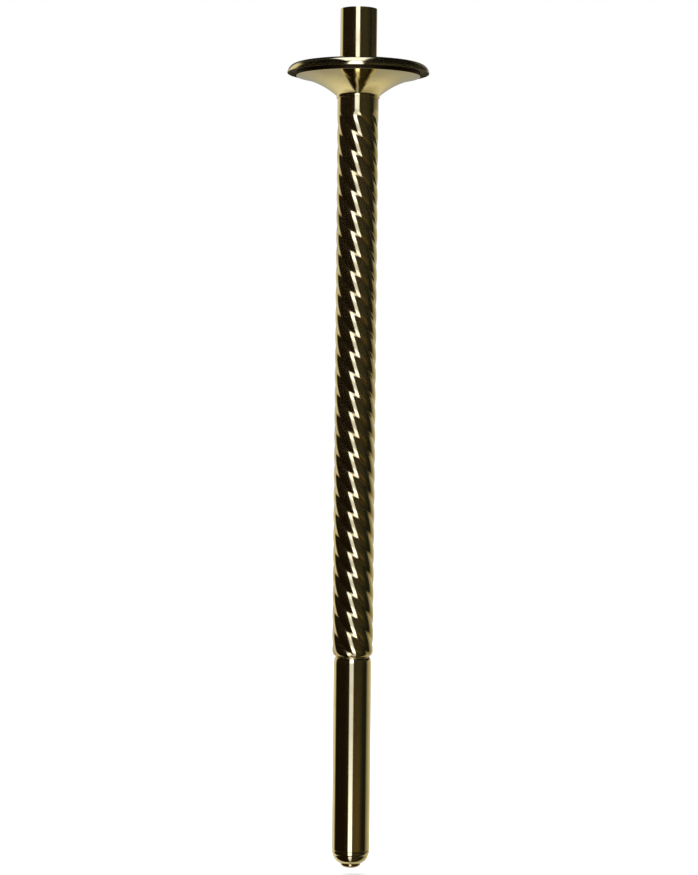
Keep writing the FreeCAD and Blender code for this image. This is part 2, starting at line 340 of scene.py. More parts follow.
# name, roughness, spread of the gloss, tarnish, pitch and depth of the marks, depth of the ripples
FINISHES = {
    "stem": MetalFinish("stem_brass", 0.085, 0.05, 0.55, 0.45 * MM, 0.0015 * MM, 0.02 * MM),
    "handle": MetalFinish("handle_brass", 0.075, 0.04, 0.35, 0.45 * MM, 0.0012 * MM, 0.012 * MM),
    # the pan and the bell get dark painted shade, on the pan's underside and on the bell's upright rim
    "pan": MetalFinish("pan_brass", 0.09, 0.06, 0.45, 0.6 * MM, 0.003 * MM, 0.03 * MM,
                       painted_shade=PaintedShade.UNDERSIDE),
    "bell": MetalFinish("bell_brass", 0.09, 0.06, 0.45, 0.6 * MM, 0.003 * MM, 0.03 * MM,
                        painted_shade=PaintedShade.UPRIGHT_RIM),
    "socket": MetalFinish("socket_brass", 0.08, 0.05, 0.5, 0.4 * MM, 0.0015 * MM, 0.012 * MM),
    "tip": MetalFinish("tip_brass", 0.1, 0.06, 0.7, 0.35 * MM, 0.002 * MM, 0.01 * MM,
                       tarnish_colour=(0.5, 0.28, 0.12)),
    "turned": MetalFinish("turned_brass", 0.26, 0.12, 0.6, 0.3 * MM, 0.012 * MM,
                          slot=Slot.TURNED, colour=(0.8, 0.64, 0.3)),
    "steel": MetalFinish("plated_steel", 0.28, 0.12, 0.5, 0.25 * MM, 0.01 * MM,
                         slot=Slot.STEEL, colour=(0.62, 0.62, 0.6), tarnish_colour=(0.34, 0.31, 0.27)),
}


# ---- outlines and turned meshes ----


@dataclass
class Outline:
    """The half section of a turned piece, drawn point by point."""

    fillet: float
    corners: list[tuple[complex, float]] = field(default_factory=list)

    @classmethod
    def washer(cls, extent: "Extent", bore: float, fillet: float) -> "Outline":
        """The section of a flat washer."""
        return cls(fillet).to((bore, extent.low), (extent.radius, extent.low),
                              (extent.radius, extent.high), (bore, extent.high))

    def to(self, *points: Pair, fillet: float | None = None) -> "Outline":
        """Draws straight on to corners, each rounded by the fillet.

        Args:
            points: The corners, as radius and height.
            fillet: Their rounding, or the outline's own.

        Returns:
            The outline.
        """
        rounding = self.fillet if fillet is None else fillet
        self.corners += [(complex(*point), rounding) for point in points]
        return self

    def along(self, curve: Iterable[complex]) -> None:
        """Follows a smooth curve, and keeps its points as they are."""
        self.corners += [(point, 0.0) for point in curve]

    def points(self) -> list[complex]:
        """Rounds the corners.

        Returns:
            The points of the closed or pole-to-pole outline.
        """
        done = []
        count = len(self.corners)
        for place, (corner, rounding) in enumerate(self.corners):
            before = self.corners[place - 1][0] - corner
            after = self.corners[(place + 1) % count][0] - corner
            if rounding == 0 or corner.real == 0:
                done.append(corner)
                continue
            done += rounded_corner(corner, before, after, rounding)
        return done


def rounded_corner(corner: complex, before: complex, after: complex, rounding: float) -> list[complex]:
    """The arc that rounds a corner, with a support point on each side of it.

    Args:
        corner: The sharp corner.
        before: From the corner to the last one.
        after: From the corner to the next one.
        rounding: Radius of the arc.

    Returns:
        The points, in order.
    """
    bend = abs(cmath.phase(after / before))
    turn = math.pi - bend
    if turn < ARC_STEP:
        return [corner]
    cut = min(rounding * math.tan(turn / 2), LARGEST_CUT * abs(before), LARGEST_CUT * abs(after))
    radius = cut / math.tan(turn / 2)
    backward = before / abs(before)
    forward = after / abs(after)
    inward = backward + forward
    centre = corner + inward / abs(inward) * math.hypot(cut, radius)
    start = corner + backward * cut
    end = corner + forward * cut
    sweep = cmath.phase((end - centre) / (start - centre))
    steps = max(2, math.ceil(turn / (2 * ARC_STEP)))
    arc = [centre + (start - centre) * cmath.exp(1j * sweep * step / steps) for step in range(steps + 1)]
    support_back = start + backward * min(SUPPORT_CUT * cut, SUPPORT_SIDE * abs(before))
    support_on = end + forward * min(SUPPORT_CUT * cut, SUPPORT_SIDE * abs(after))
    return [support_back, *arc, support_on]


def bent_arc(start: complex, heading: float, end_heading: float, radius: float) -> list[complex]:
    """An arc that leaves start along one heading and ends along another.

    Args:
        start: Where it begins.
        heading: Direction of travel there, in degrees from outwards, anticlockwise.
        end_heading: Direction of travel at its end.
        radius: Its radius.

    Returns:
        Its points.
    """
    side = 1 if end_heading > heading else -1
    first = cmath.exp(1j * math.radians(heading - 90 * side))
    centre = start - first * radius
    sweep = math.radians(end_heading - heading)
    steps = max(2, math.ceil(abs(sweep) / (ARC_STEP / 3)))
    return [centre + radius * first * cmath.exp(1j * sweep * step / steps) for step in range(steps + 1)]


def bulged_arc(start: complex, end: complex, bulge: float) -> list[complex]:
    """An arc between two points, bulging to the right of the way.

    Args:
        start: Where it begins.
        end: Where it ends.
        bulge: How far it stands off its chord.

    Returns:
        Its points.
    """
    chord = end - start
    half = abs(chord) / 2
    radius = (half * half + bulge * bulge) / (2 * bulge)
    centre = (start + end) / 2 + 1j * chord / abs(chord) * (radius - bulge)
    sweep = cmath.phase((end - centre) / (start - centre))
    steps = max(4, math.ceil(abs(sweep) / (ARC_STEP / 2)))
    return [centre + (start - centre) * cmath.exp(1j * sweep * step / steps) for step in range(steps + 1)]


def quarter_ellipse(centre: complex, reach: float, height: float, steps: int = 16) -> list[complex]:
    """A quarter of an ellipse, from its outermost point to its highest or lowest one.

    Args:
        centre: Centre of the ellipse.
        reach: Half axis outwards.
        height: Half axis upwards, or downwards if it is negative.
        steps: Number of its chords.

    Returns:
        Its points.
    """
    angles = [math.pi / 2 * step / steps for step in range(steps + 1)]
    return [centre + complex(reach * math.cos(angle), height * math.sin(angle)) for angle in angles]


def mesh_from_rings(name: str, rings: Sequence[Sequence[Vector]], closed: bool) -> Mesh:
    """A closed mesh through rings of points about the axis.

    Args:
        name: Name of the mesh.
        rings: Rings with as many points each, or a single point where a ring is a pole.
        closed: Whether the last ring joins the first one.

    Returns:
        The mesh, with smooth faces and its sharp edges marked.
    """
    mesh = bpy.data.meshes.new(name)
    work = bmesh.new()
    placed = [[work.verts.new(point) for point in ring] for ring in rings]
    pairs = list(zip(placed, placed[1:]))
    if closed:
        pairs.append((placed[-1], placed[0]))
    for low, high in pairs:
        count = max(len(low), len(high))
        for place in range(count):
            after = (place + 1) % count
            corners = [low[place % len(low)], low[after % len(low)],
                       high[after % len(high)], high[place % len(high)]]
            work.faces.new(list(dict.fromkeys(corners)))
    write_faces(work, mesh)
    return mesh


def write_faces(work: bmesh.types.BMesh, mesh: Mesh) -> None:
    """Writes faces to a mesh, turned outwards and smooth, and marks the sharp edges.

    Args:
        work: The faces, which are freed.
        mesh: Where they go.
    """
    bmesh.ops.recalc_face_normals(work, faces=work.faces)
    work.to_mesh(mesh)
    work.free()
    mesh.polygons.foreach_set("use_smooth", [True] * len(mesh.polygons))
    mesh.set_sharp_from_angle(angle=SHARP_ANGLE)


@dataclass(frozen=True)
class Extent:
    """Where a turned node lies: its outer radius and its lowest and highest heights."""

    radius: float
    low: float
    high: float

    @classmethod
    def of(cls, node: str) -> "Extent":
        """Reads a node's extent from the frame."""
        low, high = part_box(node)
        return cls(high.x, low.z, high.z)


def place(mesh: Mesh, node: str, finish: str, body: Body = Body.STEM) -> None:
    """Puts a finished mesh in the scene in place of its node.

    Args:
        mesh: The piece's mesh, in place.
        node: The node that it stands for, which also names the piece.
        finish: Its finish.
        body: The body that it moves with.
    """
    mesh.materials.clear()
    mesh.materials.append(FINISHES[finish].material())
    piece = bpy.data.objects.new(f"{node}_look", mesh)
    bpy.context.scene.collection.objects.link(piece)
    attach(piece, body.value)
    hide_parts(node)
    log.info("%s: %d faces on %s", piece.name, len(mesh.polygons), body.value)


def turn(node: str, outline: Outline, finish: str, body: Body = Body.STEM, columns: int = 192) -> None:
    """Turns an outline about the axis and puts it in place of its node.

    Args:
        node: The node that it stands for.
        outline: The half section; it closes on itself, or runs from pole to pole.
        finish: Its finish.
        body: The body that it moves with.
        columns: Number of faces round the axis.
    """
    points = outline.points()
    angles = [TURN * column / columns for column in range(columns)]
    rings = [
        [Vector((spot.real * math.cos(angle), spot.real * math.sin(angle), spot.imag))
         for angle in (angles if spot.real else angles[:1])]
        for spot in points]
    has_poles = points[0].real == 0 and points[-1].real == 0
    place(mesh_from_rings(node, rings, closed=not has_poles), node, finish, body)


# ---- pieces that follow a rule ----


@dataclass
class RuledTree:
    """A geometry node tree with an input for each size, and the plain mesh that it makes."""

    name: str
    sizes: dict[str, float]
    finish: str

    def __post_init__(self) -> None:
        """Makes the tree's inputs, one for each size and one for the material."""
        self.tree = bpy.data.node_groups.new(self.name, "GeometryNodeTree")
        self.graph = Graph(self.tree)
        face = self.tree.interface
        face.new_socket("Geometry", in_out="OUTPUT", socket_type="NodeSocketGeometry")
        face.new_socket("Geometry", in_out="INPUT", socket_type="NodeSocketGeometry")
        for name, value in self.sizes.items():
            kind = "NodeSocketInt" if isinstance(value, int) else "NodeSocketFloat"
            face.new_socket(name, in_out="INPUT", socket_type=kind)
        face.new_socket("Metal", in_out="INPUT", socket_type="NodeSocketMaterial")
        self.inputs = self.graph.add("NodeGroupInput")

    def size(self, name: str) -> Number:
        """The wire of a named input."""
        return Number(self.graph, self.inputs.outputs[name])

    def grid(self, rows: Number | int) -> tuple[NodeSocket, Number, Number]:
        """A flat grid, of one point more than the tree's columns, to be bent round the axis.

        Args:
            rows: Points across it.

        Returns:
            The grid, and each point's share of the way along it and across it.
        """
        node = self.graph.add("GeometryNodeMeshGrid", {
            "Size X": 1.0, "Size Y": 1.0, "Vertices X": self.size("columns") + 1, "Vertices Y": rows})
        x, y, _ = self.graph.split(self.graph.add("GeometryNodeInputPosition").outputs[0])
        return node.outputs[0], x + 0.5, y + 0.5

    def wrapped(self, grid: NodeSocket, radius: Number, angle: Number, height: Number) -> NodeSocket:
        """Bends a grid to a radius, angle and height at each point."""
        spot = self.graph.point(
            radius * self.graph.calc("COSINE", angle), radius * self.graph.calc("SINE", angle), height)
        return self.graph.add("GeometryNodeSetPosition", {"Geometry": grid, "Position": spot}).outputs[0]

    def ring(self, inner: Term, outer: Number, height: Number, start: Term = 0.0) -> NodeSocket:
        """A flat ring or disc.

        Args:
            inner: Radius of its hole, or 0.
            outer: Its radius.
            height: Its height.
            start: Angle of its first column.

        Returns:
            The surface.
        """
        grid, along, across = self.grid(2)
        return self.wrapped(grid, inner + (outer - inner) * across, along * TURN + start, height)

    def plain_mesh(self, *parts: NodeSocket) -> Mesh:
        """Joins the parts, welds their edges and applies the tree.

        Args:
            parts: The surfaces to join.

        Returns:
            The closed mesh, its faces outwards.
        """
        graph = self.graph
        join = graph.add("GeometryNodeJoinGeometry")
        for part in parts:
            self.tree.links.new(part, join.inputs[0])
        merged = graph.add("GeometryNodeMergeByDistance", {
            0: join.outputs[0], "Distance": self.size("weld")})
        real = graph.add("GeometryNodeRealizeInstances", {0: merged.outputs[0]})
        dressed = graph.add("GeometryNodeSetMaterial", {
            0: real.outputs[0], "Material": self.inputs.outputs["Metal"]})
        graph.add("NodeGroupOutput", {0: dressed.outputs[0]})
        holder = bpy.data.objects.new(self.name, bpy.data.meshes.new(self.name))
        bpy.context.scene.collection.objects.link(holder)
        modifier = holder.modifiers.new(self.name, "NODES")
        modifier.node_group = self.tree
        values = {**self.sizes, "Metal": FINISHES[self.finish].material()}
        for item in self.tree.interface.items_tree:
            if item.in_out == "INPUT" and item.name in values:
                modifier[item.identifier] = values[item.name]
        holder.update_tag()
        depsgraph = bpy.context.evaluated_depsgraph_get()
        mesh = bpy.data.meshes.new_from_object(holder.evaluated_get(depsgraph))
        holder.modifiers.remove(modifier)
        bpy.data.objects.remove(holder)
        work = bmesh.new()
        work.from_mesh(mesh)
        bmesh.ops.dissolve_degenerate(work, dist=self.sizes["weld"] / 10, edges=work.edges)
        write_faces(work, mesh)
        return mesh


@dataclass
class TwistTube:
    """The stem tube: left-hand spiral grooves that run out below the bell."""

    grooves: int = 6
    groove_depth: float = 0.85 * MM
    valley_share: float = 0.2
    lead: float = 111.3 * MM
    start_angle: float = math.radians(36.0)
    fade: float = 9.0 * MM
    wall: float = 4.05 * MM
    shoulder: float = 6.0 * MM
    collar_overlap: float = 8.5 * MM
    plain: float = 12.0 * MM
    columns: int = 168
    shoulder_rows: int = 12
    rows: int = 440
    bore_rows: int = 9
    weld: float = 0.01 * MM

    def build(self) -> None:
        """Grows the tube by its rule and puts it in place."""
        extent = Extent.of("twist_tube")
        length = extent.high - extent.low
        turns = length / self.lead
        whole_columns = round(turns * self.columns) / self.columns
        tree = RuledTree("twist_tube_rule", {
            **asdict(self),
            "foot": extent.low,
            "length": length,
            "crest_radius": extent.radius,
            "neck_radius": Extent.of("neck_plug").radius,
            "seam_turn": TURN * (turns - whole_columns),
        }, "stem")
        size = tree.size
        bore = size("crest_radius") - size("wall")
        start = size("start_angle")
        grid, along, across = tree.grid(size("bore_rows"))
        inside = tree.wrapped(grid, bore, along * TURN + start, size("foot") + size("length") * across)
        low_end = tree.ring(bore, size("neck_radius"), size("foot"), start)
        top_end = tree.ring(bore, size("crest_radius"), size("foot") + size("length"), start)
        place(tree.plain_mesh(self.outside(tree), inside, low_end, top_end), "twist_tube", "stem")

    def outside(self, tree: RuledTree) -> NodeSocket:
        """The grooved outside, its columns laid along the grooves.

        Args:
            tree: The tube's tree.

        Returns:
            The surface, with a groove attribute from 0 on a crest to 1 in a valley.
        """
        graph, size = tree.graph, tree.size
        grid, along, across = tree.grid(size("rows"))
        row = across * (size("rows") - 1)
        rounding = (row / size("shoulder_rows")).clamped() * (math.pi / 2)
        rest_rows = size("rows") - 1 - size("shoulder_rows")
        climb = ((row - size("shoulder_rows")) / rest_rows).clamped()
        rise = (size("shoulder") * (1 - graph.calc("COSINE", rounding))
                + (size("length") - size("shoulder")) * climb)
        drop = (size("crest_radius") - size("neck_radius")) * (1 - graph.calc("SINE", rounding))
        plain_from = size("length") - size("collar_overlap") - size("plain")
        left = ((plain_from - rise) / size("fade")).clamped()
        depth = size("groove_depth") * graph.calc("SINE", left * (math.pi / 2)) ** 2.0
        lobe = graph.calc("FRACT", along * size("grooves"))
        off_crest = graph.calc("ABSOLUTE", lobe * 2 - 1)
        flat_part = 1 - size("valley_share")
        past_flank = graph.calc("MAXIMUM", 0.0, off_crest - flat_part)
        valley = (off_crest ** 2.0 - past_flank ** 2.0 / size("valley_share")) / flat_part
        radius = graph.calc(
            "MAXIMUM", size("neck_radius"), size("crest_radius") - drop - depth * valley)
        seam = size("seam_turn") * ((rise - plain_from) / (size("length") - plain_from)).clamped()
        angle = along * TURN + size("start_angle") - rise * TURN / size("lead") + seam
        marked = graph.add("GeometryNodeStoreNamedAttribute", {
            "Geometry": grid, "Name": "groove", "Value": valley * depth / size("groove_depth")},
            data_type="FLOAT", domain="POINT")
        return tree.wrapped(marked.outputs[0], radius, angle, rise + size("foot"))


@dataclass
class TieRod:
    """The long steel rod, threaded at both ends."""

    pitch: float = 1.25 * MM
    depth: float = 0.75 * MM
    thread_length: float = 24.0 * MM
    thread_rows: int = 192
    columns: int = 32
    chamfer: float = 0.8 * MM
    weld: float = 0.01 * MM

    def build(self) -> None:
        """Grows both threads by their rule and puts the rod in place."""
        extent = Extent.of("tie_rod")
        tree = RuledTree("tie_rod_rule", {
            **asdict(self),
            "radius": extent.radius,
            "foot": extent.low,
            "length": extent.high - extent.low,
        }, "steel")
        size = tree.size
        edge = size("radius") - size("chamfer")
        low_face = tree.ring(0.0, edge, size("foot"))
        top_face = tree.ring(0.0, edge, size("foot") + size("length"))
        place(tree.plain_mesh(self.side(tree), low_face, top_face), "tie_rod", "steel")

    def side(self, tree: RuledTree) -> NodeSocket:
        """The threaded ends and the plain shank between them.

        Args:
            tree: The rod's tree.

        Returns:
            The surface.
        """
        graph, size = tree.graph, tree.size
        steps = size("thread_rows")
        grid, along, across = tree.grid(steps * 2 + 2)
        row = across * (steps * 2 + 1)
        thread = size("thread_length")
        lower = (row / steps).clamped()
        shank = (row - steps).clamped()
        upper = ((row - steps - 1) / steps).clamped()
        rise = thread * (lower + upper) + (size("length") - thread * 2) * shank
        wave = graph.calc("FRACT", rise / size("pitch") - along + 1)
        tooth = graph.calc("ABSOLUTE", wave * 2 - 1)
        from_end = graph.calc("MINIMUM", rise, size("length") - rise)
        ease = ((thread - from_end) / (size("pitch") * 2)).clamped()
        start = ((from_end - size("chamfer")) / size("pitch")).clamped()
        slope = graph.calc("MAXIMUM", size("chamfer") - from_end, 0.0)
        radius = size("radius") - size("depth") * tooth * ease * start - slope
        return tree.wrapped(grid, radius, along * TURN, rise + size("foot"))


# ---- turned, spun and drawn sub-assemblies ----


@dataclass
class Handle:
    """The plain handle: its tube, the plugs in its ends and the end cap with its bead and dome."""

    wall: float = 2.5 * MM
    shoulder: float = 8.0 * MM
    low_support: float = 4.8 * MM
    top_support: float = 12.8 * MM
    slip: float = 0.05 * MM
    rod_hole: float = 4.4 * MM
    plug_chamfer: float = 0.8 * MM
    crisp: float = 0.1 * MM
    bead_height: float = 4.3 * MM
    bead_step: float = 0.9 * MM
    bead_bulge: float = 0.8 * MM
    dome_bulge: float = 1.7 * MM
    dome_foot: float = 9.2 * MM
    pocket: float = 6.8 * MM
    pocket_depth: float = 8.0 * MM

    def __post_init__(self) -> None:
        """Reads where the pieces lie, and works out what fits in the tube's bore."""
        self.tube = Extent.of("handle_tube")
        self.neck = Extent.of("neck_plug")
        self.cap = Extent.of("end_cap")
        self.bore = self.tube.radius - self.wall
        self.inside = self.bore - self.slip

    def build(self) -> None:
        """Makes the three pieces."""
        turn("handle_tube", self.tube_outline(), "handle")
        turn("neck_plug", self.plug_outline(), "turned")
        turn("end_cap", self.cap_outline(), "handle")

    def tube_outline(self) -> Outline:
        """The tube, rounded into the neck groove at its top.

        Returns:
            Its half section.
        """
        tube = self.tube
        outline = Outline(0.2 * MM).to((self.bore, tube.low), (tube.radius, tube.low))
        outline.to((tube.radius, tube.low + self.low_support),
                   (tube.radius, tube.high - self.top_support), fillet=0)
        outline.along(quarter_ellipse(
            complex(self.neck.radius, tube.high - self.shoulder), tube.radius - self.neck.radius,
            self.shoulder))
        return outline.to((self.bore, tube.high))

    def plug_outline(self) -> Outline:
        """The coupler inside both tubes, with the neck ring that shows between them.

        Returns:
            Its half section.
        """
        neck = self.neck
        ring_top = Extent.of("twist_tube").low
        outline = Outline(self.crisp)
        outline.to((self.rod_hole, neck.low), (self.inside, neck.low), fillet=self.plug_chamfer)
        outline.to((self.inside, self.tube.high), (neck.radius, self.tube.high),
                   (neck.radius, ring_top), (self.inside, ring_top))
        return outline.to((self.inside, neck.high), (self.rod_hole, neck.high), fillet=self.plug_chamfer)

    def cap_outline(self) -> Outline:
        """The end cap: dome, bead, and its plug up inside the tube.

        Returns:
            Its half section.
        """
        cap = self.cap
        edge = self.tube.radius - self.bead_step
        bead_foot = complex(edge, self.tube.low - self.bead_height)
        pocket_top = cap.low + self.pocket_depth
        outline = Outline(0.3 * MM)
        outline.along(bulged_arc(complex(self.dome_foot, cap.low), bead_foot, self.dome_bulge))
        outline.along(bulged_arc(bead_foot, complex(edge, self.tube.low), self.bead_bulge)[1:])
        outline.to((self.inside, self.tube.low), fillet=self.crisp)
        outline.to((self.inside, cap.high), (self.rod_hole, cap.high), fillet=self.plug_chamfer)
        return outline.to((self.rod_hole, pocket_top), (self.pocket, pocket_top), (self.pocket, cap.low))


@dataclass
class Tip:
    """The round button that clamps the handle's end, and the thin washer above it."""

    flat: float = 3.0 * MM
    boss: float = 6.5 * MM
    thread: float = 4.05 * MM
    skin: float = 1.6 * MM
    washer_bore: float = 6.8 * MM
    columns: int = 128

    def build(self) -> None:
        """Makes the button and the washer."""
        button = Extent.of("end_button")
        washer = Extent.of("end_washer")
        head = washer.low
        outline = Outline(0.2 * MM)
        outline.along([complex(0, self.skin)])
        outline.to((self.thread, self.skin), (self.thread, button.high), (self.boss, button.high),
                   fillet=0.4 * MM)
        outline.to((self.boss, head), fillet=0.1 * MM)
        outline.to((button.radius, head), fillet=0.12 * MM)
        rim = quarter_ellipse(complex(self.flat, head), button.radius - self.flat, -(head - button.low))
        outline.along(rim[1:])
        outline.along([complex(0, button.low)])
        turn("end_button", outline, "tip", Body.TIP, self.columns)
        ring = Outline.washer(washer, self.washer_bore, 0.2 * MM)
        turn("end_washer", ring, "tip", Body.TIP_RING, self.columns)


@dataclass
class DripPan:
    """The spun pan: flat floor, dished wall and a rounded rim turned down to a crisp lip."""

    sheet: float = 1.3 * MM
    rim_reach: float = 10.0 * MM
    floor_rise: float = 3.0 * MM
    dish_turn: float = 60.0
    rod_hole: float = 4.4 * MM
    lip_round: float = 0.45 * MM
    rim_steps: int = 28
    columns: int = 288

    def build(self) -> None:
        """Makes the pan."""
        pan = Extent.of("drip_pan")
        height = pan.high - pan.low
        floor = pan.low + self.floor_rise
        wall = (height - self.floor_rise) / 2 / (1 - math.cos(math.radians(self.dish_turn)))
        top = complex(pan.radius - self.rim_reach, pan.high)
        centre = complex(top.real, pan.low)
        outer_rim = quarter_ellipse(centre, self.rim_reach, height, self.rim_steps)
        inner_rim = quarter_ellipse(
            centre, self.rim_reach - self.sheet, height - self.sheet, self.rim_steps)
        # both rims leave out their first two points, which the rounded lip takes up
        outline = Outline(0.3 * MM)
        outline.to((pan.radius, pan.low), fillet=self.lip_round)
        outline.along(outer_rim[2:])
        outline.along(self.dish(top, wall, wall)[1:])
        outline.to((self.rod_hole, floor), (self.rod_hole, floor - self.sheet))
        under = self.dish(complex(top.real, pan.high - self.sheet), wall - self.sheet, wall + self.sheet)
        outline.along(reversed(under))
        outline.along(reversed(inner_rim[2:-1]))
        outline.to((pan.radius - self.sheet, pan.low), fillet=self.lip_round)
        turn("drip_pan", outline, "pan", columns=self.columns)

    def dish(self, top: complex, fall: float, foot: float) -> list[complex]:
        """The dished wall, from the rim's top in to the floor.

        Args:
            top: Where it leaves the rim.
            fall: Radius of the upper arc.
            foot: Radius of the lower arc.

        Returns:
            Its points.
        """
        upper = bent_arc(top, 180, 180 + self.dish_turn, fall)
        lower = bent_arc(upper[-1], 180 + self.dish_turn, 180, foot)
        return upper + lower[1:]


@dataclass
class PanBell:
    """The trumpet-shaped bell under the pan, with a collar round the stem."""

    edge_drop: float = 2.6 * MM
    flare_angle: float = 10.0
    throat_angle: float = 40.0
    throat_radius: float = 3.0 * MM
    collar_wall: float = 0.9 * MM
    wall: float = 2.0 * MM
    slip: float = 0.05 * MM
    web: float = 2.5 * MM
    web_hole: float = 10.05 * MM
    flange: float = 3.0 * MM
    columns: int = 256

    def build(self) -> None:
        """Makes the bell."""
        bell = Extent.of("pan_bell")
        stem = Extent.of("twist_tube")
        bore = stem.radius + self.slip
        collar = bore + self.collar_wall
        rim_low = complex(bell.radius, Extent.of("drip_pan").low - self.edge_drop)
        rim_slope = math.radians(self.flare_angle)
        throat_slope = math.radians(self.throat_angle)
        throat_top = collar + self.throat_radius * (1 - math.sin(throat_slope))
        flare_radius = (bell.radius - throat_top) / (math.sin(throat_slope) - math.sin(rim_slope))
        flare = bent_arc(rim_low, 180 + self.flare_angle, 180 + self.throat_angle, flare_radius)
        throat = bent_arc(flare[-1], 180 + self.throat_angle, 270, self.throat_radius)
        web_low = stem.high + self.flange
        web_high = web_low + self.web
        inner_radius = flare_radius + self.wall
        inner_rim = rim_low + self.wall * complex(-math.sin(rim_slope), math.cos(rim_slope))
        centre_height = rim_low.imag - flare_radius * math.cos(rim_slope)
        web_heading = 180 + math.degrees(math.acos((web_high - centre_height) / inner_radius))
        inside = bent_arc(inner_rim, 180 + self.flare_angle, web_heading, inner_radius)
        outline = Outline(0.3 * MM)
        outline.to((rim_low.real, rim_low.imag), fillet=0.35 * MM)
        outline.along(flare[1:])
        outline.along(throat[1:])
        outline.to((collar, bell.low), (bore, bell.low), fillet=0.15 * MM)
        outline.to((bore, web_low), (self.web_hole, web_low), (self.web_hole, web_high))
        outline.along(reversed(inside[1:]))
        outline.to((inner_rim.real - self.wall, inner_rim.imag), (inner_rim.real - self.wall, bell.high),
                   (bell.radius, bell.high))
        turn("pan_bell", outline, "bell", columns=self.columns)


@dataclass
class Clamp:
    """What clamps the pan inside: the stem's top plug, and the nut and washer on the rod."""

    spigot_length: float = 14.0 * MM
    bore_step: float = 4.1 * MM
    flange: float = 3.0 * MM
    boss: float = 10.0 * MM
    rod_hole: float = 4.4 * MM
    rod: float = 4.0 * MM
    nut_chamfer: float = math.radians(28)
    nut_face: float = 0.97
    nut_bevel: float = 0.4 * MM
    nut_columns: int = 144

    def build(self) -> None:
        """Makes the plug, the washer and the nut."""
        plug = Extent.of("top_plug")
        washer = Extent.of("pan_nut_washer")
        spigot = plug.radius - self.bore_step
        stem_end = plug.low + self.spigot_length
        outline = Outline(0.3 * MM)
        outline.to((self.rod_hole, plug.low), (spigot, plug.low), fillet=0.8 * MM)
        outline.to((spigot, stem_end), (plug.radius, stem_end), (plug.radius, stem_end + self.flange),
                   (self.boss, stem_end + self.flange), (self.boss, plug.high), (self.rod_hole, plug.high))
        turn("top_plug", outline, "turned")
        turn("pan_nut_washer", Outline.washer(washer, self.rod_hole, 0.25 * MM), "steel")
        place(self.nut(), "pan_nut", "steel")

    def nut(self) -> Mesh:
        """The hexagon nut, its corners chamfered by a cone at both faces.

        Returns:
            The nut's mesh.
        """
        extent = Extent.of("pan_nut")
        sixth = TURN / 6
        flat = extent.radius * math.cos(sixth / 2)
        face = self.nut_face * flat
        angles = [TURN * column / self.nut_columns for column in range(self.nut_columns)]

        def side(angle: float) -> float:
            """Radius of the hexagon at an angle."""
            return flat / math.cos(angle % sixth - sixth / 2)

        def fall(angle: float) -> float:
            """How far the cone has cut down the side at an angle."""
            return max(0.0, side(angle) - face) * math.tan(self.nut_chamfer)

        def ring(radius: Profile, inset: Profile, top: bool) -> list[Vector]:
            """A ring of points; its radius and its inset from the nearer face vary with the angle."""
            end, way = (extent.high, -1) if top else (extent.low, 1)
            return [Vector((radius(a) * math.cos(a), radius(a) * math.sin(a), end + way * inset(a)))
                    for a in angles]

        half = [
            (lambda a: self.rod, lambda a: self.nut_bevel),
            (lambda a: self.rod + self.nut_bevel, lambda a: 0.0),
            (lambda a: face, lambda a: 0.0),
            (side, fall),
        ]
        rings = [ring(*pair, top=False) for pair in half] + [ring(*pair, top=True) for pair in reversed(half)]
        return mesh_from_rings("pan_nut", rings, closed=True)


@dataclass
class CandleSocket:
    """The tube that holds the candle, its threaded base and the wide washer under its foot."""

    wall: float = 1.0 * MM
    ledge: float = 0.6 * MM
    rim_round: float = 0.42 * MM
    washer_bore: float = 13.0 * MM
    thread: float = 4.05 * MM
    skin: float = 0.6 * MM

    def build(self) -> None:
        """Makes the three pieces."""
        tube = Extent.of("candle_socket")
        base = Extent.of("socket_base")
        washer = Extent.of("socket_washer")
        bore = tube.radius - self.wall
        foot = bore - self.ledge
        outline = Outline(0.2 * MM)
        outline.to((foot, tube.low), (tube.radius, tube.low))
        outline.to((tube.radius, tube.high), (bore, tube.high), fillet=self.rim_round)
        outline.to((bore, base.high), (foot, base.high), fillet=0.1 * MM)
        turn("candle_socket", outline, "socket", Body.SOCKET)
        disc = Outline(0.25 * MM)
        disc.along([complex(0, base.high)])
        disc.to((foot, base.high), (foot, base.low), fillet=0.1 * MM)
        disc.to((self.thread, base.low), fillet=0.5 * MM)
        disc.to((self.thread, base.high - self.skin), fillet=0.1 * MM)
        disc.along([complex(0, base.high - self.skin)])
        turn("socket_base", disc, "turned", Body.SOCKET)
        ring = Outline.washer(washer, self.washer_bore, 0.25 * MM)
        turn("socket_washer", ring, "socket", Body.SOCKET_RING)


# ---- studio ----


@dataclass(frozen=True)
class Band:
    """A stretch with soft ends, whole between two values; left without an end it stays whole."""

    start: float
    whole: float
    last: float = 400
    end: float = 401

    def share(self, graph: Graph, value: Number) -> Number:
        """1 inside the band and 0 outside it."""
        return graph.ramp(value, self.start, self.whole) * (1 - graph.ramp(value, self.last, self.end))


@dataclass(frozen=True)
class Patch:
    """A soft patch of the mirrored room, by degrees from the front, towards +X, and from level."""

    azimuth: Band
    elevation: Band
    amount: float = 1.0

    def share(self, graph: Graph, azimuth: Number, elevation: Number) -> Number:
        """Its amount in a direction."""
        return self.azimuth.share(graph, azimuth) * self.elevation.share(graph, elevation) * self.amount


ALL_ROUND = Band(-401, -400)


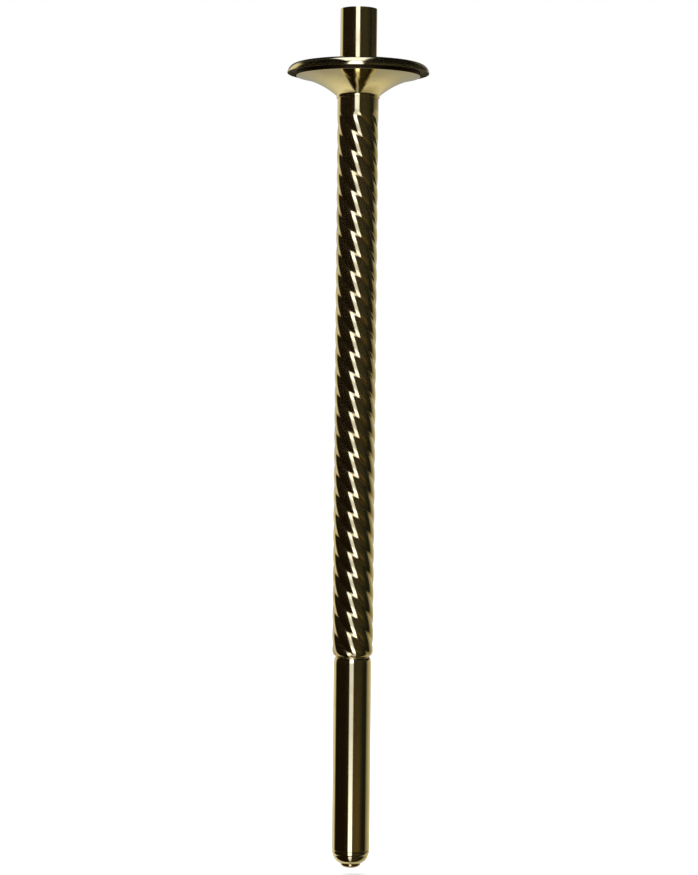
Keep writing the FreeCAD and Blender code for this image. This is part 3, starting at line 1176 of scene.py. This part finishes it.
@dataclass
class Studio:
    """A pale floor, a soft room that the brass mirrors, one overhead lamp and the camera."""

    floor_drop: float = 9.0 * MM
    floor_size: float = 12.0
    camera_distance: float = 2.22
    camera_height: float = 0.45
    aim_height: float = 0.402
    axis_offset: float = -0.0058
    roll: float = math.radians(-0.57)
    lens: float = 98.0
    sensor: float = 36.0
    lamp_height: float = 2.4
    lamp_size: float = 2.6
    lamp_power: float = 40.0
    lamp_side: Pair = (-0.6, -0.5)
    floor_tones: tuple[Colour, Colour] = ((0.94, 0.94, 0.935), (0.96, 0.96, 0.955))
    floor_scale: float = 3.0
    white_level: float = 1.0
    fill_level: float = 1.14

    # azimuth of a part of the mirrored walls, its level and its tint
    walls: tuple[tuple[float, float, Colour], ...] = (
        (-180, 0.3, (1, 0.98, 0.88)),
        (-160, 0.55, (1, 0.98, 0.88)),
        (-138, 0.8, (1, 0.98, 0.86)),
        (-124, 0.52, (1, 0.95, 0.78)),
        (-116, 0.03, (1, 0.8, 0.45)),
        (-108, 0.008, (1, 0.7, 0.4)),
        (-45, 0.009, (1, 0.5, 0.15)),
        (-22, 0.016, (1, 0.7, 0.4)),
        (18, 0.03, (1, 0.85, 0.5)),
        (34, 0.034, (1, 0.87, 0.5)),
        (60, 0.026, (1, 0.9, 0.5)),
        (76, 0.011, (0.9, 1, 0.8)),
        (96, 0.012, (0.95, 1, 0.75)),
        (108, 0.24, (1, 0.92, 0.66)),
        (128, 0.42, (1, 0.93, 0.68)),
        (150, 0.66, (1, 0.96, 0.8)),
        (165, 0.45, (1, 0.98, 0.88)),
        (180, 0.3, (1, 0.98, 0.88)),
    )
    wall_shades: tuple[Patch, ...] = (
        Patch(ALL_ROUND, Band(26, 38), 0.97),
        Patch(Band(148, 166), Band(9, 15), 0.94),
        Patch(Band(-401, -400, -166, -148), Band(9, 15), 0.94),
        Patch(Band(96, 104, 150, 160), Band(6, 7.6), 0.95),
    )
    strip: Patch = Patch(Band(-19.5, -14.5, 4.5, 9.5), Band(-84, -76, 52, 62), 2.2)
    strip_shades: tuple[Patch, ...] = (
        Patch(ALL_ROUND, Band(-13, -8, 4, 13), 0.62),
        Patch(ALL_ROUND, Band(-401, -400, -46, -30), 0.65),
    )
    strip_tint: Colour = (0.92, 1, 1.4)
    bounce: Patch = Patch(Band(6, 14, 46, 64), Band(-18, -14, -10.5, -6.5))
    bounce_tint: Colour = (0.05, 0.03, 0.006)

    # the lit part of the ceiling, by the direction's components to +X, to +Y and up
    overhead: tuple[Band, Band, Band] = (
        Band(-0.29, -0.23, 0.09, 0.15), Band(-0.62, -0.5), Band(0.84, 0.92))
    overhead_level: float = 1.5

    def build(self) -> None:
        """Sets up the floor, the light and the camera."""
        self.floor()
        self.world()
        self.lamp()
        self.camera()
        bpy.context.scene.view_settings.view_transform = "Standard"

    def floor(self) -> None:
        """Lays the pale floor, which the brass doesn't mirror."""
        mesh = bpy.data.meshes.new("floor")
        half = self.floor_size / 2
        corners = [(-half, -half), (half, -half), (half, half), (-half, half)]
        mesh.from_pydata([(x, y, -self.floor_drop) for x, y in corners], [], [(0, 1, 2, 3)])
        material = bpy.data.materials.new("pale_floor")
        material.use_nodes = True
        graph = Graph(material.node_tree)
        where = graph.add("ShaderNodeTexCoord").outputs["Object"]
        mottle = graph.ramp(graph.noise(where, self.floor_scale, 3.0), 0.3, 0.7)
        tone = graph.blend(mottle, *[(*tone, 1.0) for tone in self.floor_tones])
        shader = graph.add("ShaderNodeBsdfPrincipled", {
            "Base Color": tone, "Roughness": 0.9, "Specular IOR Level": 0.1})
        graph.add("ShaderNodeOutputMaterial", {0: shader.outputs[0]})
        mesh.materials.append(material)
        floor = bpy.data.objects.new("floor", mesh)
        bpy.context.scene.collection.objects.link(floor)
        floor.visible_glossy = False

    def world(self) -> None:
        """Fills the room: white to the camera, but a dark room with a lit strip to the brass."""
        world = bpy.data.worlds.new("room")
        bpy.context.scene.world = world
        world.use_nodes = True
        graph = Graph(world.node_tree)
        direction = graph.split(graph.add("ShaderNodeTexCoord").outputs["Generated"])
        across, depth, height = direction
        azimuth = graph.calc("DEGREES", graph.calc("ARCTAN2", across, -1.0 * depth))
        elevation = graph.calc("DEGREES", graph.calc("ARCSINE", height))

        def left(shades: tuple[Patch, ...]) -> Number:
            """What a set of shades leaves of the light."""
            return math.prod(1 - shade.share(graph, azimuth, elevation) for shade in shades)

        walls = graph.add("ShaderNodeValToRGB", {0: azimuth / 360.0 + 0.5})
        stops = walls.color_ramp.elements
        while len(stops) < len(self.walls):
            stops.new(0.5)
        for stop, (angle, level, tint) in zip(stops, self.walls):
            stop.position = angle / 360.0 + 0.5
            stop.color = (*[level * part for part in tint], 1.0)
        dim = graph.add("ShaderNodeVectorMath", {
            0: walls.outputs[0], "Scale": left(self.wall_shades)}, operation="SCALE")
        ceiling = math.prod(band.share(graph, part) for band, part in zip(self.overhead, direction))
        strip = (self.strip.share(graph, azimuth, elevation) * left(self.strip_shades)
                 + ceiling * self.overhead_level)
        bounce = self.bounce.share(graph, azimuth, elevation)
        glow = graph.point(*[strip * lamp + bounce * floor for lamp, floor in zip(
            self.strip_tint, self.bounce_tint)])
        lit = graph.add("ShaderNodeVectorMath", {0: dim.outputs[0], 1: glow}, operation="ADD")
        mirrored = graph.add("ShaderNodeBackground", {0: lit.outputs[0], 1: 1.0})
        rays = graph.add("ShaderNodeLightPath").outputs
        seen = Number(graph, rays["Is Camera Ray"])
        level = self.fill_level - seen * (self.fill_level - self.white_level)
        plain = graph.add("ShaderNodeBackground", {0: (1.0, 1.0, 1.0, 1.0), 1: level})
        mix = graph.add("ShaderNodeMixShader", {
            0: rays["Is Glossy Ray"], 1: plain.outputs[0], 2: mirrored.outputs[0]})
        graph.add("ShaderNodeOutputWorld", {0: mix.outputs[0]})

    def lamp(self) -> None:
        """Hangs one wide soft lamp overhead, for the shadow on the floor."""
        light = bpy.data.lights.new("overhead", "AREA")
        light.size = self.lamp_size
        light.energy = self.lamp_power
        lamp = bpy.data.objects.new("overhead", light)
        lamp.location = (*self.lamp_side, self.lamp_height)
        lamp.rotation_euler = (-lamp.location).to_track_quat("-Z", "Y").to_euler()
        lamp.visible_glossy = False
        bpy.context.scene.collection.objects.link(lamp)

    def camera(self) -> None:
        """Stands the camera in front, a little below the pan."""
        data = bpy.data.cameras.new("camera")
        data.lens = self.lens
        data.sensor_width = self.sensor
        camera = bpy.data.objects.new("camera", data)
        tilt = math.atan2(self.camera_height - self.aim_height, self.camera_distance)
        camera.location = (self.axis_offset, -self.camera_distance, self.camera_height)
        camera.rotation_euler = (math.pi / 2 - tilt, self.roll, 0.0)
        bpy.context.scene.collection.objects.link(camera)
        bpy.context.scene.camera = camera


def main() -> None:
    """Builds every sub-assembly round the frame, then the studio."""
    logging.basicConfig(level=logging.INFO, format="%(name)s %(message)s")
    for assembly in (TwistTube(), TieRod(), Handle(), Tip(), DripPan(), PanBell(), Clamp(), CandleSocket()):
        assembly.build()
    Studio().build()


if __name__ == "__main__":
    main()
